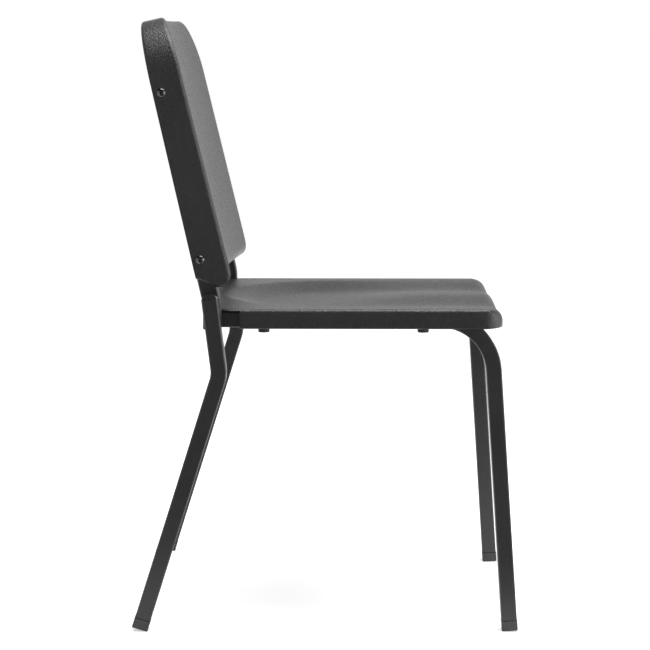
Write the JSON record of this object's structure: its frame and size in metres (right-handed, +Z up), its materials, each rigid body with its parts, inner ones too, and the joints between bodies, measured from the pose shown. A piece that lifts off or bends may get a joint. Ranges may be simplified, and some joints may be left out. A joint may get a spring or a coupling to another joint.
{
  "type": "choir chair",
  "caption": "Stacking choir chair with a dished plastic seat, a hollow-faced plastic back with side wings, and a bent square steel tube frame on square glides.",
  "frame": {"origin": "on the floor, at the centre of the bounding box seen from above", "axes": "+X the way the sitter faces, +Y the sitter's left, +Z up"},
  "size_m": [0.5291, 0.487, 0.8305],
  "materials": {
    "moulding": "fine-grained black moulding",
    "frame": "satin black powder coat",
    "trim": "smooth black moulding",
    "pad": "matt black",
    "screw": "gloss black",
    "insert": "bright zinc"
  },
  "bodies": {
    "root": {"seat_shell": "moulding", "back_shell": "moulding", "side_frame_left": "frame", "side_frame_right": "frame", "rear_leg_left": "frame", "rear_leg_right": "frame", "back_upright_left": "frame", "back_upright_right": "frame", "front_cross_tube": "frame", "rear_cross_tube": "frame", "front_glide_left": "trim", "front_glide_right": "trim", "rear_glide_left": "trim", "rear_glide_right": "trim", "rear_leg_cap_left": "trim", "rear_leg_cap_right": "trim", "rail_plug_left": "trim", "rail_plug_right": "trim", "upright_foot_plugs": "trim", "upright_top_plugs": "trim", "back_screws_left": "screw", "back_screws_right": "screw", "back_screw_inserts": "insert", "front_stack_bumpers": "pad", "rear_stack_bumpers": "pad", "seat_screws": "screw"}
  },
  "joints": []
}
